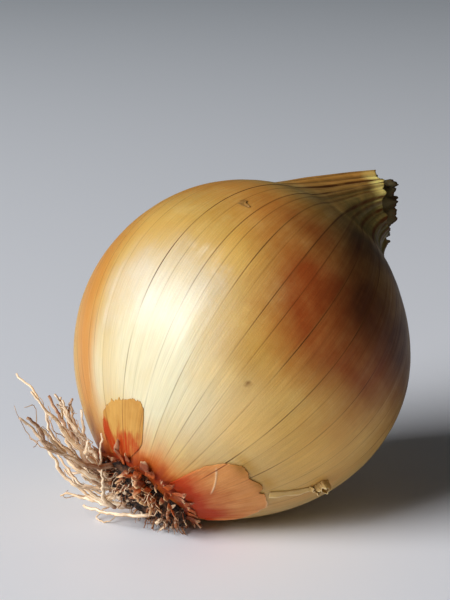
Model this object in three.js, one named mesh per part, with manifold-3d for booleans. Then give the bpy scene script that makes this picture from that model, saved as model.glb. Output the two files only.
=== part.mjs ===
// A yellow onion lying on its side. The part's frame is in millimetres with +Z up, and its origin is the
// middle of the small flat spot that the bulb rests on. The root end points down to the left and the
// front (-X, -Y), and the neck points up to the right and the back.
//
// The skin is a stack of rings round a bent axis: rings run from the root end (s = 0) over the body to the
// shoulder (s = 1) and on along the neck to its cut end (s = 2). A turn is an angle round that axis.

import * as THREE from 'three';
import { mergeVertices } from 'three/addons/utils/BufferGeometryUtils.js';
import Module from 'manifold-3d';

const wasm = await Module();
wasm.setup();

// Driving dimensions, in millimetres
const BULB_RADIUS = 38;
const REST_HEIGHT = 36.6; // the bulb's centre above the surface that it rests on
const ROOT_SWELL = 3.2; // how far the root end reaches past the round body
const NECK_RADIUS = 6.8;
const NECK_LENGTH = 20.5;
const VEIN_HEIGHT = 0.16;
const PLEAT_DEPTH = 0.85;
const DIMPLE_DEPTH = 1.3;
const PLATE_RADIUS = 11.6;
const PLATE_THICKNESS = 3.4;
const ROOT_THICKNESS = 1.15;
const STUB_REACH = 1.7; // how far the longest stubs stand off the plate
const SCRAP_THICKNESS = 0.65;
const SCRAP_GAP = 0.55; // from the bulb's skin to the torn scraps that lie on it
const PLATE_GAP = 0.5; // from the bulb's flat root end to the root plate
const ROOT_CLEARANCE = 42.5; // the roots stay this far from the bulb's centre

// Directions from the bulb's centre
const TO_ROOT = new THREE.Vector3(-0.530, -0.512, -0.676).normalize();
const TO_NECK = new THREE.Vector3(0.586, 0.519, 0.623).normalize();
const NECK_HEADING = new THREE.Vector3(0.947, 0.311, 0.12).normalize();
const UNDERSIDE = new THREE.Vector3(0.453, 0.020, -0.891).normalize();
const ROOT_SWEEP = new THREE.Vector3(-0.28, 0.02, 0.96).normalize();
const ROOT_TRAIL = new THREE.Vector3(-0.80, 0.45, 0.05).normalize();

// Angles
const DEGREE = Math.PI / 180;
const PLATE_ANGLE = 16 * DEGREE; // from the root pole to the edge of the root plate
const SCRAP_ANGLE = 17.5 * DEGREE; // from the root pole to the near edge of the torn scraps
const SHOULDER_ANGLE = 147 * DEGREE; // from the root pole to where the neck begins
const UNDERSIDE_SPREAD = 0.6; // radians
const UNDERSIDE_FLATTENING = 0.035; // share of the radius
const SHORT_SIDE = 55 * DEGREE; // the side of the neck that is cut shortest
const DIMPLE_TURN = 35 * DEGREE; // the middle of the dimple beside the neck
const CURL_TURN = 27 * DEGREE; // the middle of the curled shred
const CURL_SLANT = 14 * DEGREE; // from the shred's first end to its last
const SWEEP_TURN = 207 * DEGREE; // the side of the plate where most of the long roots grow
const TRAIL_TURN = 180 * DEGREE; // the side where those grow that trail along the surface below
const GOLDEN_ANGLE = 137.5 * DEGREE; // from each stub to the next

// Places along the skin
const CURL_START = 0.25;
const CURL_RUN = 0.15;
const DIMPLE_PLACE = 0.94;
const PLEATS_START = 0.86;

// Counts
const VEINS = 26;
const COLUMNS_PER_VEIN = 4;
const BODY_RINGS = 22;
const NECK_RINGS = 8;
const STUBS = 36;
const ROOTS = 32;

const CENTRE = new THREE.Vector3(0, 0, REST_HEIGHT);
const AXIS = TO_NECK.clone().sub(TO_ROOT).normalize();
const SIDE = AXIS.clone().cross(new THREE.Vector3(0, 0, 1)).normalize(); // turn 0, towards the front right
const UNDER = AXIS.clone().cross(SIDE); // turn 90 degrees, towards the surface below

const smooth = (x) => x * x * (3 - 2 * x);
const clamp = (x, low, high) => Math.min(high, Math.max(low, x));
const bell = (x, width) => Math.exp(-((x / width) ** 2));

// A small seeded random generator, the same on every run
function randomFrom(seed) {
  let state = seed >>> 0;
  return () => {
    state = (state + 0x6d2b79f5) >>> 0;
    let t = state;
    t = Math.imul(t ^ (t >>> 15), t | 1);
    t ^= t + Math.imul(t ^ (t >>> 7), t | 61);
    return ((t ^ (t >>> 14)) >>> 0) / 4294967296;
  };
}

// The bulb's veins: uneven places round the axis, and how far the skin bulges between each and the next
const veinRandom = randomFrom(11);
const VEIN_TURNS = [];
const PANEL_BULGES = [];
for (let i = 0; i < VEINS; i++) {
  VEIN_TURNS.push(((i + 0.4 * (veinRandom() - 0.5)) * 2 * Math.PI) / VEINS);
  PANEL_BULGES.push(0.30 * (veinRandom() - 0.35));
}

// The round body's radius at an angle from the root pole
const bodyRadius = (angle) => BULB_RADIUS + ROOT_SWELL * bell(angle, 0.42);

const SHOULDER_RADIUS = bodyRadius(SHOULDER_ANGLE) * Math.sin(SHOULDER_ANGLE);
const SHOULDER_HEIGHT = -bodyRadius(SHOULDER_ANGLE) * Math.cos(SHOULDER_ANGLE);
const NECK_FLARE = (SHOULDER_RADIUS - NECK_RADIUS) * -Math.tan(SHOULDER_ANGLE); // keeps the slope unbroken
const NECK_START = TO_NECK.clone().multiplyScalar(SHOULDER_HEIGHT);
const NECK_BEND = NECK_START.clone().addScaledVector(TO_NECK, NECK_LENGTH / 2);
const NECK_END = NECK_BEND.clone().addScaledVector(NECK_HEADING, NECK_LENGTH / 2);
const NECK_LINE = new THREE.QuadraticBezierCurve3(NECK_START, NECK_BEND, NECK_END);

// One ring of the skin, seen from the bulb's centre: its middle, the way that it faces and its radius
function ringAt(s) {
  if (s <= 1) {
    const angle = PLATE_ANGLE + (SHOULDER_ANGLE - PLATE_ANGLE) * s;
    const bend = smooth(angle / SHOULDER_ANGLE);
    const heading = TO_ROOT.clone().negate().lerp(TO_NECK, bend).normalize();
    const middle = heading.clone().multiplyScalar(-bodyRadius(angle) * Math.cos(angle));
    return { middle, heading, radius: bodyRadius(angle) * Math.sin(angle) };
  }
  const t = Math.min(s - 1, 1);
  const flare = (SHOULDER_RADIUS - NECK_RADIUS) * Math.exp((-NECK_LENGTH * t) / NECK_FLARE);
  return { middle: NECK_LINE.getPoint(t), heading: NECK_LINE.getTangent(t), radius: NECK_RADIUS + flare };
}

// The folds of the dried neck, as a share from -1 to 1
function pleats(turn) {
  return 0.45 * Math.cos(7 * turn + 0.6) + 0.35 * Math.cos(11 * turn + 2.1) + 0.2 * Math.cos(17 * turn);
}

// How far the skin stands off its ring: low swellings, a dimple beside the neck, and the neck's folds
function swelling(turn, s) {
  const body = 0.28 * Math.cos(2 * turn + 0.7) + 0.16 * Math.cos(5 * turn + 1.9);
  const beside = bell(Math.sin((turn - DIMPLE_TURN) / 2), 0.42) * bell(s - DIMPLE_PLACE, 0.17);
  const folded = smooth(clamp((s - PLEATS_START) / 0.5, 0, 1));
  const inset = DIMPLE_DEPTH * beside;
  return body * Math.sin(Math.PI * Math.min(s, 1)) - inset + PLEAT_DEPTH * folded * pleats(turn);
}

// How much of the neck's length is left on one side, where its cut end slants
function neckShare(turn) {
  return 0.93 - 0.16 * (1 + Math.cos(turn - SHORT_SIDE));
}

// The torn edge of a dry layer, as a share of the neck's length
function torn(turn) {
  return 0.045 * Math.sin(5 * turn + 1) + 0.03 * Math.sin(13 * turn) + 0.02 * Math.sin(23 * turn + 2);
}

// A point of the skin. Relief stands it off its ring, and lift stands it off the finished skin. The neck's
// cut edge is even, unless it is given as ragged.
function skinPoint(turn, s, relief = 0, lift = 0, ragged = 0) {
  const along = s > 1 ? 1 + (s - 1) * (neckShare(turn) + ragged * torn(turn)) : s;
  const ring = ringAt(along);
  const facing = new THREE.Quaternion().setFromUnitVectors(AXIS, ring.heading);
  const outward = SIDE.clone().multiplyScalar(Math.cos(turn)).addScaledVector(UNDER, Math.sin(turn));
  outward.applyQuaternion(facing);
  const point = ring.middle.clone().addScaledVector(outward, ring.radius + swelling(turn, s) + relief);
  const fromUnderside = point.angleTo(UNDERSIDE);
  point.multiplyScalar(1 - UNDERSIDE_FLATTENING * bell(fromUnderside, UNDERSIDE_SPREAD));
  point.addScaledVector(point.clone().normalize(), lift);
  return point.add(CENTRE);
}

// A closed surface through rings of the same number of points, with a pole at each end. Rings turn
// anticlockwise seen from the last pole.
function closedSurface(firstPole, rings, lastPole) {
  const count = rings[0].length;
  const points = [firstPole, ...rings.flat(), lastPole];
  const last = points.length - 1;
  const at = (ring, column) => 1 + ring * count + (column % count);
  const faces = [];
  for (let c = 0; c < count; c++) {
    faces.push(0, at(0, c + 1), at(0, c));
    for (let r = 0; r + 1 < rings.length; r++) {
      faces.push(at(r, c), at(r, c + 1), at(r + 1, c + 1));
      faces.push(at(r, c), at(r + 1, c + 1), at(r + 1, c));
    }
    faces.push(last, at(rings.length - 1, c), at(rings.length - 1, c + 1));
  }
  return new THREE.BufferGeometry().setFromPoints(points).setIndex(faces);
}

// A curved sheet of even thickness over a grid of points: the inner face, and the outer one above it
function closedSheet(inner, outer) {
  const rows = inner.length;
  const columns = inner[0].length;
  const points = [...inner.flat(), ...outer.flat()];
  const low = (r, c) => r * columns + c;
  const high = (r, c) => rows * columns + low(r, c);
  const faces = [];
  const quad = (a, b, c, d) => faces.push(a, b, c, a, c, d);
  for (let r = 0; r + 1 < rows; r++) {
    for (let c = 0; c + 1 < columns; c++) {
      quad(high(r, c), high(r, c + 1), high(r + 1, c + 1), high(r + 1, c));
      faces.push(low(r, c), low(r + 1, c + 1), low(r, c + 1));
      faces.push(low(r, c), low(r + 1, c), low(r + 1, c + 1));
    }
    quad(low(r, 0), high(r, 0), high(r + 1, 0), low(r + 1, 0));
    quad(high(r, columns - 1), low(r, columns - 1), low(r + 1, columns - 1), high(r + 1, columns - 1));
  }
  for (let c = 0; c + 1 < columns; c++) {
    quad(high(0, c), low(0, c), low(0, c + 1), high(0, c + 1));
    quad(low(rows - 1, c), high(rows - 1, c), high(rows - 1, c + 1), low(rows - 1, c + 1));
  }
  return new THREE.BufferGeometry().setFromPoints(points).setIndex(faces);
}

// Between a geometry and a solid that can be joined and cut
function solidOf(geometry) {
  const bare = geometry.clone();
  bare.deleteAttribute('normal');
  bare.deleteAttribute('uv');
  const merged = mergeVertices(bare, 1e-4);
  return new wasm.Manifold(
    new wasm.Mesh({
      numProp: 3,
      vertProperties: new Float32Array(merged.attributes.position.array),
      triVerts: new Uint32Array(merged.index.array),
    }),
  );
}

function geometryOf(solid) {
  const mesh = solid.getMesh();
  const geometry = new THREE.BufferGeometry();
  geometry.setAttribute('position', new THREE.BufferAttribute(new Float32Array(mesh.vertProperties), 3));
  geometry.setIndex(new THREE.BufferAttribute(new Uint32Array(mesh.triVerts), 1));
  geometry.computeVertexNormals();
  return geometry;
}

// What lies under the resting surface is pressed flat: it is cut off there
const BELOW = solidOf(new THREE.BoxGeometry(200, 200, 20).translate(0, 0, -10));

// The bulb in its golden skin, with the dried neck
function bulb() {
  const columns = [];
  for (let i = 0; i < VEINS; i++) {
    const next = i + 1 < VEINS ? VEIN_TURNS[i + 1] : VEIN_TURNS[0] + 2 * Math.PI;
    for (let q = 0; q < COLUMNS_PER_VEIN; q++) {
      const share = q / COLUMNS_PER_VEIN;
      const bulge = PANEL_BULGES[i] * Math.sin(Math.PI * share) ** 2;
      columns.push({
        turn: VEIN_TURNS[i] + (next - VEIN_TURNS[i]) * share,
        relief: q === 0 ? VEIN_HEIGHT : bulge,
      });
    }
  }
  const ringOf = (s) => {
    const fade = Math.min(1, s * 6);
    return columns.map(({ turn, relief }) => skinPoint(turn, s, relief * fade, 0, 1));
  };
  const rings = [];
  for (let i = 0; i <= BODY_RINGS; i++) rings.push(ringOf(i / BODY_RINGS));
  for (let i = 1; i <= NECK_RINGS; i++) rings.push(ringOf(1 + i / NECK_RINGS));

  // The root end closes flat behind the root plate
  const rootEnd = middleOf(rings[0]);
  rings.unshift(rings[0].map((p) => p.clone().lerp(rootEnd, 0.45)));

  // The cut end of the neck shows the dried sheaths inside it, wrapped round each other. Each layer has its
  // place between the rim (0) and the middle (1), how far it stands out of the cut, and how torn it is.
  const rim = columns.map(({ turn }) => skinPoint(turn, 2));
  const neckEnd = middleOf(rim);
  const layers = [
    [0.11, -0.6, 0.6],
    [0.18, -0.8, 0.3],
    [0.26, 4.3, 1.0],
    [0.38, 3.8, 1.0],
    [0.48, 1.2, 0.5],
    [0.60, 2.8, 0.8],
    [0.76, 1.8, 0.5],
  ];
  layers.forEach(([share, out, tearing], k) => {
    const ring = rim.map((p, c) => {
      const { turn } = columns[c];
      const upper = 0.6 - 0.4 * Math.sin(turn); // the upper side stands out most
      const rise = out * upper + tearing * NECK_LENGTH * torn(turn + 1.7 * k);
      return p.clone().lerp(neckEnd, share).addScaledVector(NECK_HEADING, rise);
    });
    rings.push(ring);
  });
  const pole = neckEnd.clone().addScaledVector(NECK_HEADING, 0.4);
  const body = solidOf(closedSurface(rootEnd, rings, pole));
  return geometryOf(body.add(curl()).subtract(BELOW));
}

// A shred of torn skin that has curled up against the underside at the front, and the strip behind it
function curl() {
  const path = [];
  for (let i = 0; i <= 6; i++) {
    const t = i / 6;
    const turn = CURL_TURN + CURL_SLANT * (t - 0.5) + 2.2 * DEGREE * Math.sin(9 * t);
    path.push(skinPoint(turn, CURL_START + CURL_RUN * t, 0, 0.5 + 0.5 * t));
  }
  const radiusAt = (t) => 0.5 + 0.75 * Math.sin(Math.PI * t ** 1.5) + 0.12 * Math.sin(19 * t);
  return solidOf(strand(new THREE.CatmullRomCurve3(path), radiusAt, 6, 12));
}

function middleOf(points) {
  return points.reduce((sum, p) => sum.add(p), new THREE.Vector3()).divideScalar(points.length);
}

// A point on the root plate, at a turn as on the skin, a radius from the root pole, and how far out it is
// from the plate's face next to the bulb
const TO_PLATE = new THREE.Quaternion().setFromUnitVectors(AXIS, TO_ROOT.clone().negate());
const PLATE_BASE = bodyRadius(PLATE_ANGLE) * Math.cos(PLATE_ANGLE) + PLATE_GAP;
function platePoint(turn, radius, out) {
  const outward = SIDE.clone().multiplyScalar(Math.cos(turn)).addScaledVector(UNDER, Math.sin(turn));
  outward.applyQuaternion(TO_PLATE).multiplyScalar(radius);
  return outward.addScaledVector(TO_ROOT, PLATE_BASE + out).add(CENTRE);
}

// Height of the corky plate's lumpy outer face
function plateHeight(turn, share) {
  const dome = PLATE_THICKNESS * (1 - 0.75 * share ** 3);
  const lumps = 0.35 * Math.sin(5 * turn + 9 * share) + 0.3 * Math.sin(9 * turn - 7 * share + 1);
  return dome + lumps * share;
}

// A tapering strand along a curve, with its own pole at each end
function strand(curve, radiusAt, sides, steps) {
  const frames = curve.computeFrenetFrames(steps, false);
  const rings = [];
  for (let i = 0; i <= steps; i++) {
    const middle = curve.getPointAt(i / steps);
    const ring = [];
    for (let k = 0; k < sides; k++) {
      const a = (2 * Math.PI * k) / sides;
      const arm = frames.normals[i].clone().multiplyScalar(Math.cos(a));
      arm.addScaledVector(frames.binormals[i], Math.sin(a));
      ring.push(middle.clone().addScaledVector(arm, radiusAt(i / steps)));
    }
    rings.push(ring);
  }
  return closedSurface(curve.getPointAt(0), rings, curve.getPointAt(1));
}

// The course of a long dead root. Each leaves the plate and bends: most sweep up beside the bulb, and the
// others trail away to the left along the surface below.
function rootCurve(random, trails) {
  const spread = (random() + random() - 1) * DEGREE;
  const turn = trails ? TRAIL_TURN + 30 * spread : SWEEP_TURN + 58 * spread;
  const sweep = trails ? ROOT_TRAIL : ROOT_SWEEP;
  const base = PLATE_RADIUS * (0.4 + 0.5 * random());
  const length = trails ? 10 + 10 * random() : 12 + 23 * random();
  const start = platePoint(turn, base, 0.9);
  const heading = platePoint(turn, base + 0.9, 1.9).sub(start).normalize();
  const steps = 6;
  const points = [start];
  for (let i = 1; i <= steps; i++) {
    const wander = new THREE.Vector3(random() - 0.5, random() - 0.5, random() - 0.5);
    heading.lerp(sweep, 0.4).addScaledVector(wander, 0.8).normalize();
    const next = points[i - 1].clone().addScaledVector(heading, length / steps);
    const fromCentre = next.clone().sub(CENTRE);
    if (fromCentre.length() < ROOT_CLEARANCE) next.copy(fromCentre.setLength(ROOT_CLEARANCE).add(CENTRE));
    next.z = Math.max(next.z, ROOT_THICKNESS);
    points.push(next);
  }
  return new THREE.CatmullRomCurve3(points);
}

// The root plate: a corky disc with a lumpy face
function rootPlate() {
  const sides = 30;
  const edge = (turn) => PLATE_RADIUS * (1 + 0.035 * Math.sin(4 * turn) + 0.03 * Math.sin(7 * turn + 1));
  const turns = Array.from({ length: sides }, (_, k) => (-k * 2 * Math.PI) / sides);
  const rings = [turns.map((turn) => platePoint(turn, 0.96 * edge(turn), 0))];
  for (const share of [1, 0.84, 0.62, 0.35]) {
    rings.push(turns.map((turn) => platePoint(turn, share * edge(turn), plateHeight(turn, share))));
  }
  return closedSurface(platePoint(0, 0, 0), rings, platePoint(0, 0, plateHeight(0, 0)));
}

// A stub of a root that broke off, at a place on the plate that moves outwards from stub to stub
function rootStub(index, random) {
  const turn = index * GOLDEN_ANGLE;
  const share = 0.2 + 0.78 * Math.sqrt((index + 0.5) / STUBS);
  const foot = platePoint(turn, share * PLATE_RADIUS * 0.95, 0.8);
  const lean = new THREE.Vector3(random() - 0.5, random() - 0.5, random() - 0.5);
  const rise = plateHeight(turn, share) + 0.2 + STUB_REACH * random();
  const tip = platePoint(turn, share * PLATE_RADIUS * 1.1, rise).addScaledVector(lean, 2.6);
  const thick = ROOT_THICKNESS * (0.4 + 0.25 * random());
  return strand(new THREE.LineCurve3(foot, tip), (t) => thick * (1 - 0.35 * t), 4, 1);
}

// The root plate with its stubs and its long dead roots, grown as one piece
function rootTuft() {
  let tuft = solidOf(rootPlate());
  const stubRandom = randomFrom(5);
  for (let i = 0; i < STUBS; i++) {
    tuft = tuft.add(solidOf(rootStub(i, stubRandom)));
  }
  const rootRandom = randomFrom(24);
  for (let i = 0; i < ROOTS; i++) {
    const radius = (ROOT_THICKNESS / 2) * (0.8 + 0.4 * rootRandom());
    const curve = rootCurve(rootRandom, i % 6 === 5);
    tuft = tuft.add(solidOf(strand(curve, (t) => radius * (1.25 - 0.75 * t), 4, 7)));
  }
  return geometryOf(tuft.subtract(BELOW));
}

// How far an outline reaches at a share of its width, between corners given as [share, reach]
function reachOf(corners) {
  return (share) => {
    const next = Math.max(1, corners.findIndex(([place]) => place >= share));
    const [place0, reach0] = corners[next - 1];
    const [place1, reach1] = corners[next];
    return reach0 + ((reach1 - reach0) * (share - place0)) / (place1 - place0);
  };
}

// A torn scrap of an older skin, from the root plate to a ragged far edge. Its reach is an angle from the
// root pole, and it lifts off the bulb as told.
function skinScrap({ from, to, reach, lift, rows, columns }) {
  const inner = [];
  const outer = [];
  for (let r = 0; r <= rows; r++) {
    inner.push([]);
    outer.push([]);
    for (let c = 0; c <= columns; c++) {
      const turn = (from + ((to - from) * c) / columns) * DEGREE;
      const angle = SCRAP_ANGLE + (reach(c / columns) * DEGREE - SCRAP_ANGLE) * (r / rows);
      const s = (angle - PLATE_ANGLE) / (SHOULDER_ANGLE - PLATE_ANGLE);
      const off = SCRAP_GAP + lift(r / rows, c / columns);
      inner[r].push(skinPoint(turn, s, 0, off));
      outer[r].push(skinPoint(turn, s, 0, off + SCRAP_THICKNESS));
    }
  }
  return geometryOf(solidOf(closedSheet(inner, outer)).subtract(BELOW));
}

// The salmon flap under the front, which stands off the bulb along its lower right edge
function skinFlap() {
  const corners = [[0, 20], [0.03, 30], [0.12, 38], [0.28, 42.5], [0.5, 44], [0.66, 40], [0.71, 31], [1, 22]];
  const outline = reachOf(corners);
  return skinScrap({
    from: -25,
    to: 65,
    reach: (c) => outline(c) + 0.5 * Math.sin(31 * c),
    lift: (r, c) => 1.3 * r * r * smooth(c),
    rows: 6,
    columns: 26,
  });
}

// The orange tongue that clings to the bulb's left
function skinPatch() {
  const corners = [[0, 24], [0.12, 30], [0.34, 35], [0.58, 37.5], [0.8, 38.5], [0.95, 36.5], [1, 28]];
  const outline = reachOf(corners);
  return skinScrap({
    from: -104,
    to: -64,
    reach: (c) => outline(c) + 0.4 * Math.sin(23 * c),
    lift: () => 0,
    rows: 5,
    columns: 14,
  });
}

function piece(name, geometry, colour, roughness) {
  const material = new THREE.MeshStandardMaterial({ color: colour, roughness, metalness: 0 });
  const mesh = new THREE.Mesh(geometry, material);
  mesh.name = name;
  return mesh;
}

const onion = new THREE.Group();
onion.add(piece('bulb', bulb(), 0xd9a85c, 0.35));
onion.add(piece('root_tuft', rootTuft(), 0xa98a63, 0.9));
onion.add(piece('skin_flap', skinFlap(), 0xcf8560, 0.45));
onion.add(piece('skin_patch', skinPatch(), 0xc8823c, 0.45));

export default onion;
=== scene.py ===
# %% [markdown]
# # A yellow onion on a pale table
# This file is a lesson in Blender's Python: it builds the look of a whole yellow onion round a measured
# frame of simple solids. The frame gives the true size and place of each piece. We replace its faceted
# solids with fine meshes of the same form, and give each one a material that is made of nodes.

# %% Load the frame
import functools
import math

import bmesh
import bpy
from mathutils import Matrix, Vector, noise


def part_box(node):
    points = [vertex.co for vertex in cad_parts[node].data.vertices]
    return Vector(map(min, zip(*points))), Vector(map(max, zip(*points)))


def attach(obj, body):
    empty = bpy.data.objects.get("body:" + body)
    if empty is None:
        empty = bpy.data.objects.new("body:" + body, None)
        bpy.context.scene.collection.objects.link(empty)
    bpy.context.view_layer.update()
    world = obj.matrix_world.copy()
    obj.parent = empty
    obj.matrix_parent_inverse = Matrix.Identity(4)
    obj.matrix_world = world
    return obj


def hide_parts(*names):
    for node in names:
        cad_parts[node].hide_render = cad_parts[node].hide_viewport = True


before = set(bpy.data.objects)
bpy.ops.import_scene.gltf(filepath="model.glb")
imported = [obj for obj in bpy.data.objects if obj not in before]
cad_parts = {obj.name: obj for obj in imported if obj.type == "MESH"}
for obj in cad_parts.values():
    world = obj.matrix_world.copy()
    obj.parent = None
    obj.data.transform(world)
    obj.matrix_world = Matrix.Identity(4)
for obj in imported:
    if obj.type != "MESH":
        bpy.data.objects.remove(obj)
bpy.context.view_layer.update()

print("nodes:", sorted(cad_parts))

# %% [markdown]
# ## Sizes
# A real onion of this kind is a slightly flattened ball about 76 mm across. It lies on its side, so we need
# three directions from the ball's centre: to the root, to the neck, and the way that the neck then bends.
# All shapes here are worked out in millimetres, because those are the sizes we know, and turned into
# Blender's metres only when a point is placed.

# %% Driving dimensions, in millimetres
MM = 0.001
DEGREE = math.pi / 180

BULB_RADIUS = 38
REST_HEIGHT = 36.6
ROOT_SWELL = 3.2
NECK_RADIUS = 6.8
NECK_LENGTH = 20.5
VEIN_HEIGHT = 0.16
PLEAT_DEPTH = 0.85
DIMPLE_DEPTH = 1.3
PLATE_RADIUS = 11.6
PLATE_THICKNESS = 3.4
PLATE_GAP = 0.5
ROOT_THICKNESS = 1.15
ROOT_CLEARANCE = 42.5

TO_ROOT = Vector((-0.530, -0.512, -0.676)).normalized()
TO_NECK = Vector((0.586, 0.519, 0.623)).normalized()
NECK_HEADING = Vector((0.947, 0.311, 0.12)).normalized()
UNDERSIDE = Vector((0.453, 0.020, -0.891)).normalized()
ROOT_SWEEP = Vector((-0.28, 0.02, 0.96)).normalized()
ROOT_TRAIL = Vector((-0.80, 0.45, 0.05)).normalized()

PLATE_ANGLE = 16 * DEGREE
SHOULDER_ANGLE = 147 * DEGREE
SHORT_SIDE = 55 * DEGREE
DIMPLE_TURN = 35 * DEGREE
SWEEP_TURN = 207 * DEGREE
TRAIL_TURN = 180 * DEGREE
GOLDEN_ANGLE = 137.5 * DEGREE

CENTRE = Vector((0, 0, REST_HEIGHT))
AXIS = (TO_NECK - TO_ROOT).normalized()
SIDE = AXIS.cross(Vector((0, 0, 1))).normalized()
UNDER = AXIS.cross(SIDE)

low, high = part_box("bulb")
print("bulb solid, mm:", [round((h - l) / MM, 1) for l, h in zip(low, high)])

# %% [markdown]
# ## Chance that repeats
# Nature is uneven, but a script has to make the same onion on every run. So each draw comes from a small
# random generator with a fixed seed. This one is the well-known mulberry mix, done in 32-bit whole numbers.

# %% A seeded random generator
WORD = 0xFFFFFFFF


def random_from(seed):
    state = seed & WORD

    def draw():
        nonlocal state
        state = (state + 0x6D2B79F5) & WORD
        t = ((state ^ (state >> 15)) * (state | 1)) & WORD
        t = t ^ ((t + (((t ^ (t >> 7)) * (t | 61)) & WORD)) & WORD)
        return (t ^ (t >> 14)) / 4294967296

    return draw


def smooth(x):
    x = min(1.0, max(0.0, x))
    return x * x * (3 - 2 * x)


def bell(x, width):
    return math.exp(-((x / width) ** 2))


print("first draws of seed 11:", [round(v, 4) for v in (lambda d: [d(), d(), d()])(random_from(11))])

# %% [markdown]
# ## The form of the skin
# The bulb could be a sphere that is pushed about by hand, but an onion is built of meridians: veins and
# fibres that run from the root to the neck. So the skin is a stack of rings round a bent axis. A place on
# it is a turn round the axis and a height s: 0 at the root, 1 at the shoulder and 2 at the neck's cut end.
# Every scrap and fold later on can then be given in the same two numbers, and it will lie on the skin.

# %% Rings
def body_radius(angle):
    return BULB_RADIUS + ROOT_SWELL * bell(angle, 0.42)


SHOULDER_RADIUS = body_radius(SHOULDER_ANGLE) * math.sin(SHOULDER_ANGLE)
SHOULDER_HEIGHT = -body_radius(SHOULDER_ANGLE) * math.cos(SHOULDER_ANGLE)
NECK_FLARE = (SHOULDER_RADIUS - NECK_RADIUS) * -math.tan(SHOULDER_ANGLE)
NECK_START = TO_NECK * SHOULDER_HEIGHT
NECK_BEND = NECK_START + TO_NECK * NECK_LENGTH / 2
NECK_END = NECK_BEND + NECK_HEADING * NECK_LENGTH / 2


@functools.lru_cache(maxsize=None)
def ring_at(s):
    """Middle, heading and radius of one ring, seen from the bulb's centre."""
    if s <= 1:
        angle = PLATE_ANGLE + (SHOULDER_ANGLE - PLATE_ANGLE) * s
        heading = (-TO_ROOT).lerp(TO_NECK, smooth(angle / SHOULDER_ANGLE)).normalized()
        radius = body_radius(angle)
        return heading * -radius * math.cos(angle), heading, radius * math.sin(angle)
    t = min(s - 1, 1)
    middle = NECK_START * (1 - t) ** 2 + NECK_BEND * 2 * t * (1 - t) + NECK_END * t**2
    heading = ((NECK_BEND - NECK_START) * (1 - t) + (NECK_END - NECK_BEND) * t).normalized()
    flare = (SHOULDER_RADIUS - NECK_RADIUS) * math.exp(-NECK_LENGTH * t / NECK_FLARE)
    return middle, heading, NECK_RADIUS + flare


middle, heading, radius = ring_at(0.5)
print("the ring at half height: radius", round(radius, 1), "mm")


# %% Folds, swellings and the torn end
def neck_share(turn):
    """How much of the neck's length is left on one side, where its cut end slants."""
    return 0.93 - 0.16 * (1 + math.cos(turn - SHORT_SIDE))


def torn(turn):
    """The torn edge of a dry layer, as a share of the neck's length."""
    return 0.045 * math.sin(5 * turn + 1) + 0.03 * math.sin(13 * turn) + 0.02 * math.sin(23 * turn + 2)


def pleats(turn):
    return 0.45 * math.cos(7 * turn + 0.6) + 0.35 * math.cos(11 * turn + 2.1) + 0.2 * math.cos(17 * turn)


def swelling(turn, s):
    """How far the skin stands off its ring: low swellings, a dimple beside the neck, and the neck's folds."""
    body = 0.28 * math.cos(2 * turn + 0.7) + 0.16 * math.cos(5 * turn + 1.9)
    dimple = DIMPLE_DEPTH * bell(math.sin((turn - DIMPLE_TURN) / 2), 0.42) * bell(s - 0.94, 0.17)
    folds = PLEAT_DEPTH * smooth((s - 0.86) / 0.5) * pleats(turn)
    return body * math.sin(math.pi * min(s, 1)) - dimple + folds


def skin_point(turn, s, relief=0.0, lift=0.0, ragged=0.0):
    """A point of the skin, in millimetres."""
    along = 1 + (s - 1) * (neck_share(turn) + ragged * torn(turn)) if s > 1 else s
    middle, heading, radius = ring_at(along)
    outward = SIDE * math.cos(turn) + UNDER * math.sin(turn)
    outward.rotate(AXIS.rotation_difference(heading))
    point = middle + outward * (radius + swelling(turn, s) + relief)
    point *= 1 - 0.035 * bell(point.angle(UNDERSIDE), 0.6)
    return point + point.normalized() * lift + CENTRE


print("a point on the front right, mm:", [round(c, 1) for c in skin_point(0, 0.5)])

# %% [markdown]
# ## Veins and panels
# A dry skin shows about two dozen brown veins. The skin between two of them is a panel, which bulges a
# little or sinks a little, so the light breaks along it in long strips. Each panel also has a faint second
# vein. The mesh keeps the same number of columns in each panel, so both kinds of vein lie on vertices and
# stay sharp.

# %% Veins
VEINS = 26
COLUMNS_PER_VEIN = 15
FAINT_COLUMN = 6
vein_random = random_from(11)
VEIN_TURNS = []
PANEL_BULGES = []
for i in range(VEINS):
    VEIN_TURNS.append((i + 0.4 * (vein_random() - 0.5)) * 2 * math.pi / VEINS)
    PANEL_BULGES.append(0.30 * (vein_random() - 0.35))
tone_random = random_from(12)
PANEL_TONES = [tone_random() for _ in range(VEINS)]
VEIN_STRENGTHS = [0.3 + 0.6 * tone_random() for _ in range(VEINS)]
FAINT_STRENGTHS = [0.4 * tone_random() for _ in range(VEINS)]


def panel_span(i):
    """The turns of the vein before a panel and of the vein after it."""
    following = VEIN_TURNS[i + 1] if i + 1 < VEINS else VEIN_TURNS[0] + 2 * math.pi
    return VEIN_TURNS[i], following


def panel_of(turn):
    """The panel that a turn lies in, and how far across it, from 0 to 1."""
    for i in range(VEINS):
        start, end = panel_span(i)
        across = (turn - start) % (2 * math.pi)
        if across < end - start:
            return i, across / (end - start)
    return 0, 0.0


def fine_relief(turn, s, panel, share):
    """The panel between two veins, the veins' own ridges, and soft wrinkles along the fibres."""
    start, end = panel_span(panel)
    radius = ring_at(min(s, 1.0))[2]
    from_vein = min(share, 1 - share) * (end - start) * radius
    bulge = PANEL_BULGES[panel] * math.sin(math.pi * share) ** 2
    ridge = 0.2 * VEIN_HEIGHT * bell(from_vein, 0.7)
    spot = Vector((6 * math.cos(turn), 6 * math.sin(turn), 1.3 * s))
    wrinkle = 0.08 * noise.noise(spot * 2.4) + 0.16 * noise.noise(spot * 0.7)
    return min(1.0, s * 6) * (bulge + ridge + wrinkle)


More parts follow.
